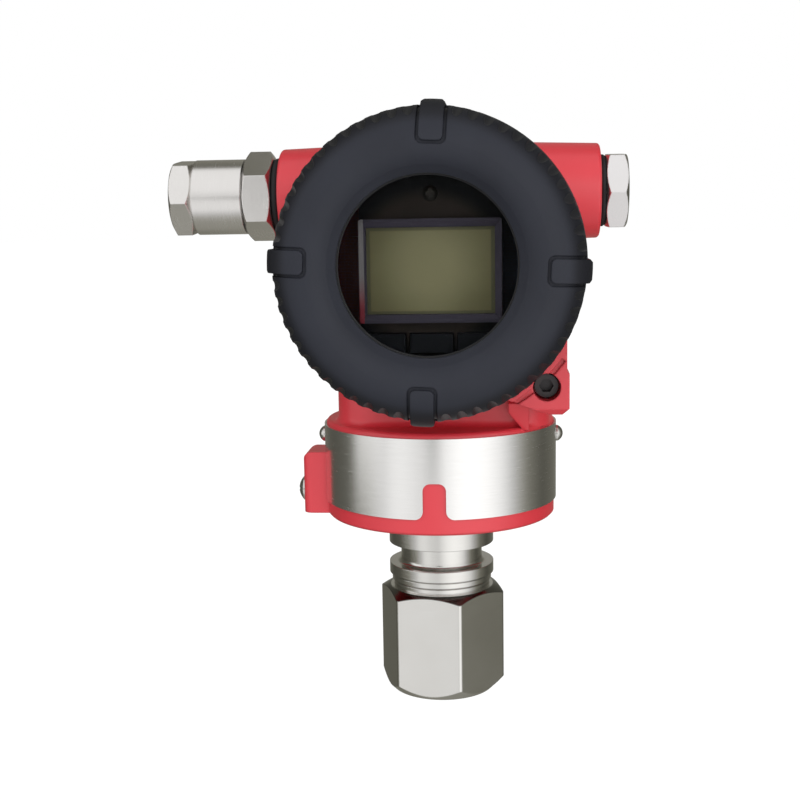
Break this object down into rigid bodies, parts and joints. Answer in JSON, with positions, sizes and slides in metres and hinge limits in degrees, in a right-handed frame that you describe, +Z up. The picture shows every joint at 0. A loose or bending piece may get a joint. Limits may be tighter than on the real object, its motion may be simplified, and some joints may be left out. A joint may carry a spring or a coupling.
{
  "type": "pressure transmitter",
  "caption": "Field pressure transmitter: round two-compartment head with display window, cable gland and plug, on a banded collar and hexagon process connection.",
  "frame": {"origin": "centre of the hexagon's lower face, at the mouth of the process thread", "axes": "+Z up along the process connection, -Y towards the viewer of the display window, -X towards the cable gland, +X towards the blanking plug"},
  "size_m": [0.1428, 0.1202, 0.1855],
  "materials": {
    "connection_steel": "turned stainless steel, satin",
    "fitting_steel": "turned stainless steel, bright",
    "band_steel": "brushed stainless strip",
    "screw_steel": "bright plated screw steel",
    "red_paint": "glossy red powder coat",
    "black_paint": "semi-matt blue-black powder coat",
    "sight_glass": "clear flat glass",
    "seal_rubber": "black rubber",
    "bezel_plastic": "dark brown-black moulded plastic",
    "key_plastic": "dark grey moulded plastic",
    "lcd": "pale olive liquid crystal panel",
    "circuit_board": "dark blue circuit board",
    "terminal_plastic": "black moulded plastic",
    "spacer_brass": "plated brass"
  },
  "bodies": {
    "head": {"process_connection": "connection_steel", "isolating_diaphragm": "fitting_steel", "sensor_capsule": "fitting_steel", "capsule_o_ring": "seal_rubber", "capsule_lock_ring": "fitting_steel", "header_board": "circuit_board", "housing": "red_paint", "nameplate_band": "band_steel", "band_rivets": "screw_steel", "ground_screw": "screw_steel", "front_lock_screw": "screw_steel", "rear_lock_screw": "screw_steel", "main_board": "circuit_board", "board_standoffs": "spacer_brass", "display_board": "circuit_board", "lcd_panel": "lcd", "display_bezel": "bezel_plastic", "display_screws": "screw_steel", "terminal_block": "terminal_plastic", "terminal_screws": "screw_steel", "terminal_block_screws": "screw_steel", "inner_ground_screw": "screw_steel", "gland_body": "fitting_steel", "gland_o_ring": "seal_rubber", "gland_seal": "seal_rubber"},
    "front_seal": {"front_cover_o_ring": "seal_rubber"},
    "front_cover": {"front_cover": "black_paint", "window_gasket": "seal_rubber", "window_glass": "sight_glass", "window_retainer": "black_paint"},
    "rear_seal": {"rear_cover_o_ring": "seal_rubber"},
    "rear_cover": {"rear_cover": "black_paint"},
    "slip_ring": {"gland_slip_ring": "fitting_steel"},
    "gland_nut": {"gland_nut": "fitting_steel"},
    "plug_seal": {"plug_o_ring": "seal_rubber"},
    "blanking_plug": {"blanking_plug": "fitting_steel"},
    "key_left": {"key_left": "key_plastic"},
    "key_middle": {"key_middle": "key_plastic"},
    "key_right": {"key_right": "key_plastic"}
  },
  "joints": [
    {"name": "front_cover_advance", "type": "slide", "parent": "head", "child": "front_seal", "axis": [0, -1, 0], "range_m": [0, 0.0121]},
    {"name": "front_cover_turn", "type": "hinge", "parent": "front_seal", "child": "front_cover", "pos_m": [0, -0.045, 0.1399], "axis": [0, -1, 0], "range_deg": [0, 2160]},
    {"name": "rear_cover_advance", "type": "slide", "parent": "head", "child": "rear_seal", "axis": [0, 1, 0], "range_m": [0, 0.0081]},
    {"name": "rear_cover_turn", "type": "hinge", "parent": "rear_seal", "child": "rear_cover", "pos_m": [0, 0.045, 0.1399], "axis": [0, 1, 0], "range_deg": [0, 1440]},
    {"name": "gland_nut_advance", "type": "slide", "parent": "head", "child": "slip_ring", "axis": [-1, 0, 0], "range_m": [0, 0.0091]},
    {"name": "gland_nut_turn", "type": "hinge", "parent": "slip_ring", "child": "gland_nut", "pos_m": [-0.074, 0, 0.1607], "axis": [-1, 0, 0], "range_deg": [0, 2160]},
    {"name": "plug_advance", "type": "slide", "parent": "head", "child": "plug_seal", "axis": [1, 0, 0], "range_m": [0, 0.0121]},
    {"name": "plug_turn", "type": "hinge", "parent": "plug_seal", "child": "blanking_plug", "pos_m": [0.055, 0, 0.1607], "axis": [1, 0, 0], "range_deg": [0, 2880]},
    {"name": "key_left_press", "type": "slide", "parent": "head", "child": "key_left", "axis": [0, 1, 0], "range_m": [0, 0.0008], "stiffness_N_per_m": 400},
    {"name": "key_middle_press", "type": "slide", "parent": "head", "child": "key_middle", "axis": [0, 1, 0], "range_m": [0, 0.0008], "stiffness_N_per_m": 400},
    {"name": "key_right_press", "type": "slide", "parent": "head", "child": "key_right", "axis": [0, 1, 0], "range_m": [0, 0.0008], "stiffness_N_per_m": 400}
  ],
  "couplings": [
    {"joint": "front_cover_advance", "follows": "front_cover_turn", "m_per_rad": 0.00031831},
    {"joint": "rear_cover_advance", "follows": "rear_cover_turn", "m_per_rad": 0.00031831},
    {"joint": "gland_nut_advance", "follows": "gland_nut_turn", "m_per_rad": 0.00023873},
    {"joint": "plug_advance", "follows": "plug_turn", "m_per_rad": 0.00023873}
  ]
}
